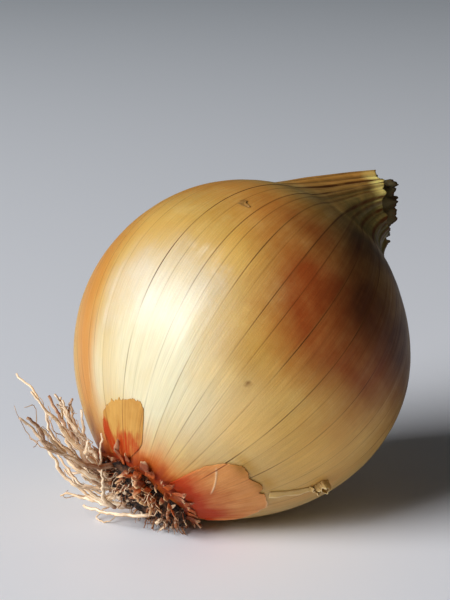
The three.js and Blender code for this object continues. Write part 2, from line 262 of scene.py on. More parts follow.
print("widest panel:", round(max(panel_span(i)[1] - panel_span(i)[0] for i in range(VEINS)) / DEGREE, 1), "degrees")

# %% [markdown]
# ## Three helpers for meshes
# Meshes are shaped in a bmesh, Blender's editable mesh, and become an object when they are done. The
# object itself stays at the origin without a turn or a scale, so the mesh holds the true place. Most
# pieces of this onion are tubes, so one helper spins a straight line of points round Z: a vertex's angle
# is then its turn, its height is a number of ours, and a rule moves it to its true place.

# %% Mesh helpers
def add_tube(bm, heights, columns):
    """Add a tube of radius 1 with rings at the heights given. Returns its vertices."""
    bm.verts.ensure_lookup_table()
    known = len(bm.verts)
    line = [bm.verts.new((1, 0, h)) for h in heights]
    edges = [bm.edges.new(pair) for pair in zip(line, line[1:])]
    bmesh.ops.spin(bm, geom=line + edges, axis=(0, 0, 1), cent=(0, 0, 0), angle=2 * math.pi,
                   steps=columns, use_merge=True)
    bm.verts.ensure_lookup_table()
    return bm.verts[known:]


def close_ends(bm):
    bmesh.ops.holes_fill(bm, edges=[e for e in bm.edges if e.is_boundary], sides=0)


def turn_of(vertex):
    return math.atan2(vertex.co.y, vertex.co.x) % (2 * math.pi)


# %% From a bmesh to a piece of the onion
pieces = []


def finish_piece(name, bm, material, replaces=None, smooth_shading=True):
    bmesh.ops.recalc_face_normals(bm, faces=bm.faces)
    for face in bm.faces:
        face.smooth = smooth_shading
    mesh = bpy.data.meshes.new(name)
    bm.to_mesh(mesh)
    bm.free()
    mesh.materials.append(material)
    piece = bpy.data.objects.new(name, mesh)
    bpy.context.scene.collection.objects.link(piece)
    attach(piece, "root")
    if replaces:
        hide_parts(replaces)
    pieces.append(piece)
    print(name, len(mesh.polygons), "faces, mm:", [round(d / MM, 1) for d in piece.dimensions])
    return piece


# %% [markdown]
# ## Colours and nodes
# Paint charts and screens give colours as sRGB, but a shader works with linear light, so one function
# turns the hex values into linear ones. Another adds a node, sets it and links it, in one line.

# %% Colour and node helpers
def paint(hex_value):
    """An sRGB hex colour as linear light."""
    channels = [int(hex_value[i:i + 2], 16) / 255 for i in (1, 3, 5)]
    linear = [c / 12.92 if c <= 0.04045 else ((c + 0.055) / 1.055) ** 2.4 for c in channels]
    return (*linear, 1.0)


def add(tree, kind, inputs=None, output=0, **settings):
    """Add a node with its settings. An input may be a value, or another node's output to link."""
    node = tree.nodes.new(kind)
    for name, value in settings.items():
        setattr(node, name, value)
    for key, value in (inputs or {}).items():
        if isinstance(value, bpy.types.NodeSocket):
            tree.links.new(value, node.inputs[key])
        else:
            node.inputs[key].default_value = value
    return node.outputs[output]


# A Mix node has a set of sockets for each kind of data. These are the places of those for colour.
MIX_A, MIX_B, MIX_RESULT = 6, 7, 2
# An Attribute node gives its value as a colour, a vector or a single factor.
AS_VECTOR, AS_FACTOR = 1, 2


def start_material(name):
    material = bpy.data.materials.new(name)
    material.use_nodes = True
    tree = material.node_tree
    return material, tree, tree.nodes["Principled BSDF"]


print("straw yellow in linear light:", [round(c, 3) for c in paint("#D9A955")])

# %% [markdown]
# ## Dry skin
# The outer skin of a yellow onion is a dead leaf base, about a tenth of a millimetre thick, dried to a
# waxy, glossy sheet. It is golden where it lies on pale flesh, and rusty where several dry skins overlap.
# Fine fibres run along it, and between them thin brown veins. The pattern follows the skin and not the
# room, so it reads numbers that we store at each vertex: the place on the skin in millimetres, called flow,
# the distance to the next vein, and how rusty, creamy or green the skin is there. Noise along the fibres
# frays the edge of each shade. Every scrap of skin is made this way, so one function builds them all.

# %% A dry skin of a base colour, with shades laid over it
FIBRE_WIDTH = 0.9
HAIR_WIDTH = 0.25
FIBRE_STRETCH = 30
CLOUD_SIZE = 9
LEATHER_SIZE = 0.45


def skin_material(name, base, darker, shades, gloss, roughness, vein_colour):
    """Each shade is a colour, the vertex attribute that says where it lies, and how far its edge frays."""
    material, tree, shader = start_material(name)
    flow = add(tree, "ShaderNodeAttribute", attribute_name="flow", output=AS_VECTOR)

    def streaks(width, detail):
        scale = (1 / width, 1 / width, 1 / (width * FIBRE_STRETCH))
        along = add(tree, "ShaderNodeVectorMath", {0: flow, 1: scale}, operation="MULTIPLY")
        return add(tree, "ShaderNodeTexNoise", {"Vector": along, "Scale": 1.0, "Detail": detail})

    fibre = streaks(FIBRE_WIDTH, 3.0)
    hair = streaks(HAIR_WIDTH, 2.0)
    cloud = add(tree, "ShaderNodeTexNoise", {"Vector": flow, "Scale": 1 / CLOUD_SIZE, "Detail": 4.0,
                                             "Roughness": 0.6})
    leather = add(tree, "ShaderNodeTexNoise", {"Vector": flow, "Scale": 1 / LEATHER_SIZE, "Detail": 2.0})
    blotch = add(tree, "ShaderNodeMath", {0: fibre, 1: 0.35, 2: cloud}, operation="MULTIPLY_ADD")
    spread = add(tree, "ShaderNodeMapRange", {0: blotch, 1: 0.50, 2: 0.95})
    skin = add(tree, "ShaderNodeMix", {0: spread, MIX_A: paint(base), MIX_B: paint(darker)},
               output=MIX_RESULT, data_type="RGBA")
    for colour, attribute, fray in shades:
        amount = add(tree, "ShaderNodeAttribute", attribute_name=attribute, output=AS_FACTOR)
        ragged = add(tree, "ShaderNodeMath", {0: blotch, 1: 0.675}, operation="SUBTRACT")
        ragged = add(tree, "ShaderNodeMath", {0: ragged, 1: fray, 2: amount}, operation="MULTIPLY_ADD")
        present = add(tree, "ShaderNodeMath", {0: amount, 1: 8.0}, operation="MULTIPLY", use_clamp=True)
        share = add(tree, "ShaderNodeMath", {0: ragged, 1: present}, operation="MULTIPLY", use_clamp=True)
        skin = add(tree, "ShaderNodeMix", {0: share, MIX_A: skin, MIX_B: paint(colour)}, output=MIX_RESULT,
                   data_type="RGBA")
    lighter = add(tree, "ShaderNodeMapRange", {0: hair, 1: 0.3, 2: 0.7, 3: 0.9, 4: 1.07})
    skin = add(tree, "ShaderNodeVectorMath", {0: skin, "Scale": lighter}, operation="SCALE")
    vein = add(tree, "ShaderNodeAttribute", attribute_name="vein", output=AS_FACTOR)
    strength = add(tree, "ShaderNodeAttribute", attribute_name="vein_strength", output=AS_FACTOR)
    line = add(tree, "ShaderNodeMapRange", {0: vein, 1: 0.03, 2: 0.2, 3: 1.0, 4: 0.0},
               interpolation_type="SMOOTHSTEP")
    line = add(tree, "ShaderNodeMath", {0: line, 1: strength}, operation="MULTIPLY", use_clamp=True)
    skin = add(tree, "ShaderNodeMix", {0: line, MIX_A: skin, MIX_B: paint(vein_colour)}, output=MIX_RESULT,
               data_type="RGBA")
    tree.links.new(skin, shader.inputs["Base Color"])

    waxy = add(tree, "ShaderNodeMapRange", {0: skin, 1: 0.03, 2: 0.35, 3: 0.2 * gloss, 4: gloss})
    tree.links.new(waxy, shader.inputs["Coat Weight"])
    rough = add(tree, "ShaderNodeMapRange", {0: fibre, 1: 0.3, 2: 0.7, 3: roughness - 0.05,
                                             4: roughness + 0.07})
    tree.links.new(rough, shader.inputs["Roughness"])
    height = add(tree, "ShaderNodeMath", {0: leather, 1: 0.8, 2: hair}, operation="MULTIPLY_ADD")
    height = add(tree, "ShaderNodeMath", {0: fibre, 1: 1.2, 2: height}, operation="MULTIPLY_ADD")
    bump = add(tree, "ShaderNodeBump", {"Strength": 0.33, "Distance": 0.1 * MM, "Height": height})
    tree.links.new(bump, shader.inputs["Normal"])
    tree.links.new(bump, shader.inputs["Coat Normal"])
    shader.inputs["IOR"].default_value = 1.45
    shader.inputs["Specular IOR Level"].default_value = 0.12
    shader.inputs["Subsurface Weight"].default_value = 0.12
    shader.inputs["Subsurface Radius"].default_value = (1.0, 0.5, 0.2)
    shader.inputs["Subsurface Scale"].default_value = 2.0 * MM
    shader.inputs["Coat Roughness"].default_value = 0.38
    return material


# Waxy golden skin: the coat is the wax, and it carries the window's broad reflection
GOLDEN_SKIN = skin_material("waxy_golden_skin", "#C5A25C", "#B18634", [
    ("#D0C7A4", "cream", 0.5),
    ("#AC8233", "honey", 0.7),
    # A brighter gold: the skin's own colour, and on the shaded underside also painted light, standing in for light
    # bounced up from the table
    ("#E2B35A", "gold_and_painted_bounce_light", 0.4),
    ("#BE8136", "tan", 0.5),
    # A whitish pale: on the front a painted highlight that whitens the window's reflection, on the back only a pale
    # patch
    ("#DAD2C0", "pale_spot_and_painted_highlight", 0.6),
    ("#8E4319", "rust", 0.45),
    # Dark umber skin; the same shade is also laid as painted shade in the valleys of the neck's folds
    ("#3F2110", "umber_and_crease_shade", 0.35),
    ("#5C532C", "olive", 0.6),
    ("#F0DC80", "lime", 0.6),
    ("#BE6522", "halo", 0.9),
    ("#8C2E14", "foot", 1.4),
    ("#E9DDC0", "scuff", 1.5),
    ("#6A3F18", "freckle", 0.3),
], gloss=0.6, roughness=0.5, vein_colour="#4C2B0F")
# An older skin that has lost its wax: salmon, with red pigment left near the root
SALMON_SKIN = skin_material("papery_salmon_skin", "#D99457", "#C67F40", [
    ("#9C6A26", "stain", 0.6),
    ("#AE3812", "red", 1.3),
    # Pale for the flap's lifted edge and its crease: partly the torn edge's own paleness, partly a painted
    # highlight where they catch the window
    ("#E9CBA4", "edge", 0.9),
], gloss=0.15, roughness=0.5, vein_colour="#8A4A26")
# A tongue of skin that clings to the bulb: tan, and a strong rusty red at its foot
RUSTY_SKIN = skin_material("clinging_rusty_skin", "#C5934A", "#A9722F", [
    ("#A8360E", "red", 2.4),
    ("#6B3A1C", "edge", 1.2),
], gloss=0.3, roughness=0.45, vein_colour="#6A3A18")
# A pale shred of the same straw colour as the skin that it was torn from
STRAW_SKIN = skin_material("torn_straw_skin", "#CFAE70", "#B48A4C", [
    ("#8A6230", "stain", 0.8),
    ("#EAD6AA", "edge", 0.6),
], gloss=0.15, roughness=0.5, vein_colour="#7A5226")
# Dry scales round the root plate: purple-brown, with pale torn edges
SCALE_SKIN = skin_material("dry_root_scale", "#9E5B40", "#6E3A2C", [
    ("#C65E28", "red", 1.0),
    ("#E6BE92", "edge", 1.6),
], gloss=0.05, roughness=0.62, vein_colour="#3A2018")
# Dead sheaths in the cut neck: brown and grey-green, with a moist yellow-green end
SHEATH = skin_material("dead_neck_sheath", "#6A5F42", "#4A412B", [
    ("#A9A04A", "lime", 0.8),
    ("#332619", "edge", 1.2),
], gloss=0.1, roughness=0.6, vein_colour="#2A1C10")
print("made", [m.name for m in (GOLDEN_SKIN, SALMON_SKIN, RUSTY_SKIN, STRAW_SKIN, SCALE_SKIN, SHEATH)])

# %% [markdown]
# ## Dead roots and cork
# Roots that died when the onion was lifted are straw-coloured fibres, wrinkled along their length and
# darker where soil still clings. The plate that they grew from is dark, crumbly cork.

# %% Root, cork and crumb materials
def fibre_material(name, pale, dark, soil):
    """A dry matt fibre. Its shade at each vertex runs from soil (0) to clean (1)."""
    material, tree, shader = start_material(name)
    flow = add(tree, "ShaderNodeAttribute", attribute_name="flow", output=AS_VECTOR)
    shade = add(tree, "ShaderNodeAttribute", attribute_name="clean", output=AS_FACTOR)
    along = add(tree, "ShaderNodeVectorMath", {0: flow, 1: (3.0, 3.0, 0.3)}, operation="MULTIPLY")
    grain = add(tree, "ShaderNodeTexNoise", {"Vector": along, "Scale": 1.0, "Detail": 3.0})
    patches = add(tree, "ShaderNodeTexNoise", {"Vector": flow, "Scale": 0.45, "Detail": 2.0})
    tint = add(tree, "ShaderNodeMapRange", {0: grain, 1: 0.35, 2: 0.65})
    colour = add(tree, "ShaderNodeMix", {0: tint, MIX_A: paint(dark), MIX_B: paint(pale)}, output=MIX_RESULT,
                 data_type="RGBA")
    uneven = add(tree, "ShaderNodeMath", {0: patches, 1: 0.5}, operation="SUBTRACT")
    uneven = add(tree, "ShaderNodeMath", {0: uneven, 1: 1.6, 2: shade}, operation="MULTIPLY_ADD",
                 use_clamp=True)
    colour = add(tree, "ShaderNodeMix", {0: uneven, MIX_A: paint(soil), MIX_B: colour}, output=MIX_RESULT,
                 data_type="RGBA")
    tree.links.new(colour, shader.inputs["Base Color"])
    bump = add(tree, "ShaderNodeBump", {"Strength": 0.7, "Distance": 0.15 * MM, "Height": grain})
    tree.links.new(bump, shader.inputs["Normal"])
    shader.inputs["Roughness"].default_value = 0.72
    shader.inputs["IOR"].default_value = 1.5
    return material


def cork_material():
    """Dark crumbly cork: black in its pits and brown on its lumps."""
    material, tree, shader = start_material("crumbly_root_cork")
    place = add(tree, "ShaderNodeTexCoord", output=3)
    coarse = add(tree, "ShaderNodeTexNoise", {"Vector": place, "Scale": 700.0, "Detail": 4.0})
    fine = add(tree, "ShaderNodeTexNoise", {"Vector": place, "Scale": 2600.0, "Detail": 2.0})
    lump = add(tree, "ShaderNodeMapRange", {0: coarse, 1: 0.42, 2: 0.62})
    colour = add(tree, "ShaderNodeMix", {0: lump, MIX_A: paint("#1C120C"), MIX_B: paint("#5F3C24")},
                 output=MIX_RESULT, data_type="RGBA")
    tree.links.new(colour, shader.inputs["Base Color"])
    height = add(tree, "ShaderNodeMath", {0: coarse, 1: 2.5, 2: fine}, operation="MULTIPLY_ADD")
    bump = add(tree, "ShaderNodeBump", {"Strength": 1.0, "Distance": 0.35 * MM, "Height": height})
    tree.links.new(bump, shader.inputs["Normal"])
    shader.inputs["Roughness"].default_value = 0.92
    shader.inputs["IOR"].default_value = 1.5
    return material


DEAD_ROOT = fibre_material("straw_coloured_dead_root", "#FFF2DA", "#D8AC74", "#84481C")
CORK = cork_material()
print("made", DEAD_ROOT.name, "and", CORK.name)

# %% [markdown]
# ## Where the skin changes colour
# Each shade is a soft spot on the skin, given as a turn and an angle from the root, both in degrees, with
# its spread both ways and its strength. A handful of spots is enough: noise does the rest. The front
# follows what is seen there, and the back gets spots of its own, because an onion is uneven all round.
# Some spots stand in for light: the whitish pale on the front is a painted highlight, the cream beside it
# whitens that highlight too, and the low gold on the right is partly painted light bounced from the table.

# %% Spots of colour
TINTS = {
    # The second spot lies under the window's reflection: pale skin there, and partly a painted highlight that
    # whitens the reflection
    "cream": [(-66, 46, 34, 20, 0.95), (-74, 66, 16, 20, 0.9), (-105, 42, 9, 13, 0.35), (-20, 44, 30, 12, 0.2),
              (70, 60, 40, 25, 0.4), (150, 55, 35, 30, 0.6)],
    # The first two spots, low on the right, lighten the shaded underside as painted light bounced from the table;
    # the others are golder patches of the skin
    "gold_and_painted_bounce_light": [(8, 66, 24, 17, 0.85), (12, 90, 14, 12, 0.35), (-97, 96, 14, 12, 0.3), (-22, 50, 12, 9, 0.4),
             (-60, 96, 14, 10, 0.3), (130, 110, 25, 15, 0.5)],
    "honey": [(-37, 74, 9, 11, 0.75), (-62, 101, 12, 7, 0.5), (-90, 108, 20, 8, 0.4), (100, 60, 20, 14, 0.5),
              (-170, 70, 25, 12, 0.5), (-8, 43, 8, 2.0, 1.0), (8, 44.5, 6, 2.2, 1.0)],
    "tan": [(-118, 72, 11, 36, 0.6), (-80, 122, 45, 12, 0.75), (-66, 112, 12, 8, 0.3), (-53, 107, 9, 6, 0.5),
            (110, 85, 30, 30, 0.6), (-150, 95, 28, 30, 0.5), (-122, 34, 10, 10, 0.6), (-25, 84, 18, 12, 0.55),
            (2, 74, 16, 10, 0.4), (30, 60, 8, 24, 0.4),
            (-113, 45, 7, 12, 0.3), (-84, 128, 20, 8, 0.4)],
    # The first two spots lie where the window is mirrored on the front and are a painted highlight; the last, on
    # the back, is only a pale patch
    "pale_spot_and_painted_highlight": [(-76, 77, 17, 12, 0.45), (-92, 72, 9, 12, 0.3), (140, 60, 30, 16, 0.4)],
    "rust": [(-52, 108, 10, 8, 0.3), (-38, 99, 12, 13, 0.95), (-20, 101, 18, 15, 0.95), (6, 103, 24, 17, 0.8),
             (170, 100, 35, 16, 0.6), (-48, 120, 25, 8, 0.5),
             (-23, 84, 13, 9, 0.55), (-3, 90, 14, 8, 0.4), (-46, 123, 9, 6, 0.25)],
    "umber_and_crease_shade": [(-18, 108, 13, 12, 0.7), (6, 112, 24, 17, 0.85), (-30, 124, 20, 12, 0.6),
              (40, 118, 30, 18, 0.7), (-28, 138, 26, 11, 0.7), (20, 142, 40, 14, 0.8), (-75, 150, 30, 14, 0.25)],
}


def tint(name, turn, angle):
    """The strength of a shade at a turn and an angle from the root, in radians."""
    total = 0
    for spot_turn, spot_angle, turn_spread, angle_spread, strength in TINTS[name]:
        around = (turn / DEGREE - spot_turn + 180) % 360 - 180
        total += strength * bell(around, turn_spread) * bell(angle / DEGREE - spot_angle, angle_spread)
    return min(total, 1.0)


def turn_about(turn):
    """A turn in degrees, between -180 and 180."""
    return (turn / DEGREE + 180) % 360 - 180


def toward(turn, middle_turn, spread):
    """1 where a turn is the middle one, in degrees, and less with distance."""
    return bell((turn / DEGREE - middle_turn + 180) % 360 - 180, spread)


# Brown flecks where the skin was nicked: turn, angle from the root and radius in millimetres
FRECKLES = [(-33, 63, 0.5), (-75.5, 116, 0.4), (-74.6, 114.8, 0.45), (-73, 114.3, 0.45), (60, 70, 0.5), (140, 80, 0.6), (-150, 60, 0.5)]
# Patches where the wax is scratched, pale: turn, angle and the spread both ways in degrees
SCUFFS = [(-71, 91, 6, 2.5), (-63, 88, 4, 3.5), (100, 100, 8, 5)]


def freckle(turn, angle):
    nearest = 0
    for spot_turn, spot_angle, radius in FRECKLES:
        around = ((turn / DEGREE - spot_turn + 180) % 360 - 180) * DEGREE * math.sin(angle)
        away = BULB_RADIUS * math.hypot(around, angle - spot_angle * DEGREE)
        nearest = max(nearest, bell(away, radius))
    return nearest


def scuff(turn, angle):
    return max(toward(turn, t, wide) * bell(angle / DEGREE - a, high) for t, a, wide, high in SCUFFS)


print("rust on the front right:", round(tint("rust", -0.3, 1.8), 2))


# %% Numbers stored at each vertex of a skin
def skin_layers(bm, names):
    layers = {name: bm.verts.layers.float.new(name) for name in ("vein", "vein_strength", *names)}
    layers["flow"] = bm.verts.layers.float_vector.new("flow")
    return layers


MERIDIAN_LENGTH = 100
LEAST_RADIUS = 9


def store_skin(vertex, layers, turn, s, panel, share, faint_vein=True):
    """The place on the skin, and the distance to the next vein with that vein's strength."""
    start, end = panel_span(panel)
    radius = max(ring_at(min(s, 2.0))[2], LEAST_RADIUS)
    from_vein = min(share, 1 - share) * (end - start) * radius
    from_faint = abs(share - FAINT_COLUMN / COLUMNS_PER_VEIN) * (end - start) * radius
    nearest = panel if share < 0.5 else (panel + 1) % VEINS
    strength = VEIN_STRENGTHS[nearest]
    if faint_vein and from_faint < from_vein:
        from_vein = from_faint
        strength = FAINT_STRENGTHS[panel]
    patchy = 0.65 + 1.1 * noise.noise(Vector((nearest * 7.3, 7 * s, 0))) + 0.9 * smooth((s - 0.35) / 0.35)
    vertex[layers["vein"]] = from_vein / (1 + 1.6 * smooth((s - 0.7) / 0.5))
    vertex[layers["vein_strength"]] = max(0.0, strength * patchy * smooth((s - 0.02) / 0.1))
    vertex[layers["flow"]] = Vector((BULB_RADIUS * math.cos(turn), BULB_RADIUS * math.sin(turn),
                                     MERIDIAN_LENGTH * s))


# %% [markdown]
# ## The bulb and its neck
# The mesh starts as a straight tube whose height is s, and each vertex is moved to its place on the skin.
# At the cut end the tube turns inwards and back down, which gives the skin a wall, and both ends are
# closed. The neck has the fine creases of a leaf that dried and shrank round its middle.

# %% Bulb mesh
BODY_ROWS = 130
NECK_ROWS = 60
UNDER_PLATE = -0.03
LIP = 0.3
WELL_DEPTH = 5.0
CREASE_DEPTH = 0.55
BULB_SHADES = ("cream", "honey", "gold_and_painted_bounce_light", "tan", "pale_spot_and_painted_highlight", "rust", "umber_and_crease_shade", "olive", "lime", "halo", "foot", "scuff", "freckle")


def creases(turn, s):
    """Sharp folds that run up the neck and fan out over the shoulder."""
    fold = abs(math.sin(9.5 * turn + 0.6)) ** 0.6 + 0.7 * abs(math.sin(14.5 * turn + 1.1 * s)) ** 0.6
    return CREASE_DEPTH * (fold - 1.2) * smooth((s - 0.95) / 0.45)


def build_bulb():
    columns = VEINS * COLUMNS_PER_VEIN
    heights = [UNDER_PLATE, UNDER_PLATE / 2] + [i / BODY_ROWS for i in range(BODY_ROWS + 1)]
    heights += [1 + i / NECK_ROWS for i in range(1, NECK_ROWS + 1)]
    heights += [3, 4]
    bm = bmesh.new()
    layers = skin_layers(bm, BULB_SHADES)
    verts = add_tube(bm, heights, columns)
    rim_middle = sum((skin_point(turn_of(v), 2) for v in verts if v.co.z == 4), Vector()) / columns
    for v in verts:
        column = round(turn_of(v) * columns / (2 * math.pi)) % columns
        panel, q = divmod(column, COLUMNS_PER_VEIN)
        share = q / COLUMNS_PER_VEIN
        start, end = panel_span(panel)
        turn = start + (end - start) * share
        height = v.co.z
        s = min(height, 2)
        angle = PLATE_ANGLE + (SHOULDER_ANGLE - PLATE_ANGLE) * s
        store_skin(v, layers, turn, s, panel, share)
        for name in TINTS:
            v[layers[name]] = tint(name, turn, angle) * (0.8 + 0.4 * PANEL_TONES[panel])
        drift = noise.noise(Vector((3 * math.cos(turn), 3 * math.sin(turn), 5)))
        softness = 0.8 - 0.4 * toward(turn, -45, 70)
        v[layers["olive"]] = smooth((s - 0.84 + 0.16 * drift) / softness) * (1 - 0.7 * toward(turn, -98, 38))
        # Painted shade: the skin is darkened along the valleys of the neck's folds, where shade falls, on top of
        # the folds' own relief
        painted_crease_shade = bell(math.sin(9.5 * turn + 0.6), 0.22) * smooth((s - 0.88) / 0.3)
        v[layers["umber_and_crease_shade"]] += 0.6 * painted_crease_shade
        v[layers["tan"]] += smooth((s - 0.95) / 0.3) * (0.45 - 0.45 * math.sin(turn))
        band = smooth((-101 - turn_about(turn)) / 7) * toward(turn, -113, 13) * bell(angle / DEGREE - 66, 34)
        v[layers["tan"]] += 0.42 * band
        v[layers["lime"]] = 1.2 * smooth((s - 1.76) / 0.2) * toward(turn, -72, 28)
        v[layers["halo"]] = 0.95 * bell(s, 0.06) + 0.3 * bell(s, 0.11)
        v[layers["foot"]] = 0.95 * bell(s, 0.035)
        v[layers["scuff"]] = 0.15 * scuff(turn, angle)
        v[layers["freckle"]] = freckle(turn, angle)

        meander = 0.012 * math.sin(5 * s + 2.1 * math.sin(3 * turn)) * math.sin(math.pi * min(s, 1))
        relief = fine_relief(turn, s, panel, share) + creases(turn, s)
        place = skin_point(turn + meander, s, relief, 0, 0.6)
        if height > 2:
            place += (rim_middle - place).normalized() * LIP
        if height > 3:
            place = place.lerp(rim_middle, 0.12) - NECK_HEADING * WELL_DEPTH
        place.z = max(place.z, 0)
        v.co = place * MM
    close_ends(bm)
    return finish_piece("onion_bulb", bm, GOLDEN_SKIN, "bulb")


BULB = build_bulb()

# %% [markdown]
# ## Sheaths in the cut neck
# Where the leaves were cut off, the dried sheaths inside the neck show as thin torn tubes, one in the
# other. Each is a tube too, given a wall by the solidify operator. They stand out most on the upper side.

# %% Neck sheaths
RIM_COLUMNS = 260
SHEATH_ROWS = 14
SHEATH_WALL = 0.28
SHEATH_DEPTH = 6.0
SHEATHS = [
    # share of the way from the rim to the middle, how far it stands out, how torn it is
    (0.13, -0.3, 0.4),
    (0.27, 4.1, 0.5),
    (0.41, 3.9, 0.6),
    (0.56, 1.6, 0.5),
    (0.72, 2.4, 0.5),
    (0.86, 1.4, 0.4),
]


def build_sheaths():
    bm = bmesh.new()
    layers = skin_layers(bm, ("lime", "edge"))
    rim_turns = [2 * math.pi * k / RIM_COLUMNS for k in range(RIM_COLUMNS)]
    end = sum((skin_point(turn, 2) for turn in rim_turns), Vector()) / RIM_COLUMNS
    for k, (share, out, tearing) in enumerate(SHEATHS):
        for v in add_tube(bm, [i / SHEATH_ROWS for i in range(SHEATH_ROWS + 1)], RIM_COLUMNS):
            turn, t = turn_of(v), v.co.z
            upper = 0.6 - 0.4 * math.sin(turn)
            fray = 0.5 * noise.noise(Vector((9 * math.cos(turn), 9 * math.sin(turn), 3.1 * k)))
            fray += 0.7 * noise.noise(Vector((21 * math.cos(turn), 21 * math.sin(turn), 3.1 * k)))
            rise = out * upper + tearing * (NECK_LENGTH * torn(turn + 1.7 * k) + 1.1 * fray)
            crinkle = 0.25 * math.sin(9 * turn + 2 * k) + 0.15 * math.sin(17 * turn + k)
            place = skin_point(turn, 2).lerp(end, share + 0.035 * crinkle * (1 - share))
            place += NECK_HEADING * (-SHEATH_DEPTH + (rise + SHEATH_DEPTH) * t)
            v[layers["flow"]] = Vector((8 * math.cos(turn), 8 * math.sin(turn), 20 * t + 30 * k))
            v[layers["vein"]] = 1.0
            v[layers["lime"]] = (0.85 if k in (0, 3) else 0.1) * toward(turn, -80, 60) * (1 - 0.5 * t)
            v[layers["edge"]] = 0.8 * smooth((t - 0.8) / 0.2)
            v.co = place * MM
    bmesh.ops.recalc_face_normals(bm, faces=bm.faces)
    bmesh.ops.solidify(bm, geom=bm.faces, thickness=SHEATH_WALL * MM)
    return finish_piece("neck_sheaths", bm, SHEATH)


SHEATHS_PIECE = build_sheaths()

# %% [markdown]
# ## The root plate
# All the roots grew from a corky disc under the bulb. It is a tube again, this time flattened: its height
# is the way from the edge to the middle. Lumps of noise break up its face.

# %% Places on the plate
TO_PLATE = AXIS.rotation_difference(-TO_ROOT)
PLATE_BASE = body_radius(PLATE_ANGLE) * math.cos(PLATE_ANGLE) + PLATE_GAP


def plate_point(turn, radius, out):
    """A point at a turn, a radius from the root pole, and a height over the plate's inner face."""
    outward = SIDE * math.cos(turn) + UNDER * math.sin(turn)
    outward.rotate(TO_PLATE)
    return outward * radius + TO_ROOT * (PLATE_BASE + out) + CENTRE


def plate_edge(turn):
    uneven = 0.035 * math.sin(4 * turn) + 0.03 * math.sin(7 * turn + 1)
    return PLATE_RADIUS * (1 + uneven - 0.3 * toward(turn, -15, 60) + 0.1 * toward(turn, 130, 45))


def plate_height(turn, share):
    dome = PLATE_THICKNESS * (1 - 0.75 * share**3)
    lumps = 0.35 * math.sin(5 * turn + 9 * share) + 0.3 * math.sin(9 * turn - 7 * share + 1)
    return dome + lumps * share


print("the plate's middle, mm:", [round(c, 1) for c in plate_point(0, 0, plate_height(0, 0))])

# %% Root plate mesh
PLATE_COLUMNS = 150
PLATE_ROWS = 34
CRUMBLE = 0.75


def build_plate():
    bm = bmesh.new()
    # From 0 to 1 the tube is the plate's wall, and from 1 to 2 its face, which closes at the middle
    heights = [0, 0.5] + [1 + 0.98 * i / PLATE_ROWS for i in range(PLATE_ROWS + 1)]
    for v in add_tube(bm, heights, PLATE_COLUMNS):
        turn, h = turn_of(v), v.co.z
        share = 2 - h if h > 1 else 1.0
        out = plate_height(turn, share) * min(h, 1.0) + (0 if h > 0 else -0.25)
        radius = plate_edge(turn) * share * (0.93 + 0.07 * min(h, 1.0))
        place = plate_point(turn, radius, out)
        rough = noise.noise(place * 0.55) + 0.7 * noise.noise(place * 1.3) + 0.4 * noise.noise(place * 2.9)
        v.co = (place + TO_ROOT * CRUMBLE * rough * min(h, 1.0)) * MM
    close_ends(bm)
    return finish_piece("root_plate", bm, CORK, "root_tuft")


PLATE = build_plate()

# %% [markdown]
# ## Roots
# Each long root is a thin tube along a smooth curve through a few points, which wander as they grow.
# Most of them sweep up beside the bulb, and a few trail away over the table. Dry roots aren't round:
# the section here is flattened and twists along the way, and its width wavers.

# %% Curves and strands
def curve_through(points, share):
    """A smooth curve that passes through all the points (a Catmull-Rom spline)."""
    spans = len(points) - 1
    place = min(share * spans, spans - 1e-6)
    i, t = int(place), place % 1
    p1, p2 = points[i], points[i + 1]
    p0 = points[i - 1] if i > 0 else p1 * 2 - p2
    p3 = points[i + 2] if i + 2 <= spans else p2 * 2 - p1
    bend = (p1 * 3 - p0 - p2 * 3 + p3) * t**3 + (p0 * 2 - p1 * 5 + p2 * 4 - p3) * t**2 + (p2 - p0) * t
    return p1 + bend * 0.5


KINK = 0.5


def add_strand(bm, layers, points, radius_at, steps, sides, flatness, clean):
    """Add a strand along a curve. How clean it is, from 0 to 1, may change along it."""
    middles = [curve_through(points, i / steps) for i in range(steps + 1)]
    middles = [m + KINK * smooth(4 * i / steps) * noise.noise_vector(m * 0.9) for i, m in enumerate(middles)]
    arm = (middles[1] - middles[0]).orthogonal().normalized()
    frames = []
    for i, middle in enumerate(middles):
        tangent = (middles[min(i + 1, steps)] - middles[max(i - 1, 0)]).normalized()
        arm = (arm - tangent * arm.dot(tangent)).normalized()
        frames.append((middle, arm.copy(), tangent.cross(arm)))
    seed = points[0].x * 3.7 + points[0].y
    for v in add_tube(bm, range(steps + 1), sides):
        turn, i = turn_of(v), round(v.co.z)
        t = i / steps
        middle, arm_now, other = frames[i]
        twist = 2.5 * t + seed
        waver = 1 + 0.4 * noise.noise(Vector((seed, 4 * t * len(points), 0)))
        wide, thin = math.cos(turn), math.sin(turn) * flatness
        across = wide * math.cos(twist) - thin * math.sin(twist)
        along = wide * math.sin(twist) + thin * math.cos(twist)
        place = middle + (arm_now * across + other * along) * radius_at(t) * waver
        place.z = max(place.z, 0.05)
        v[layers["flow"]] = Vector((math.cos(turn) + seed, math.sin(turn), 14 * t))
        v[layers["clean"]] = clean(t)
        v.co = place * MM


def fibre_layers(bm):
    return {"flow": bm.verts.layers.float_vector.new("flow"), "clean": bm.verts.layers.float.new("clean")}


# %% Courses of the long roots
ROOTS = 26
ROOT_STEPS = 6


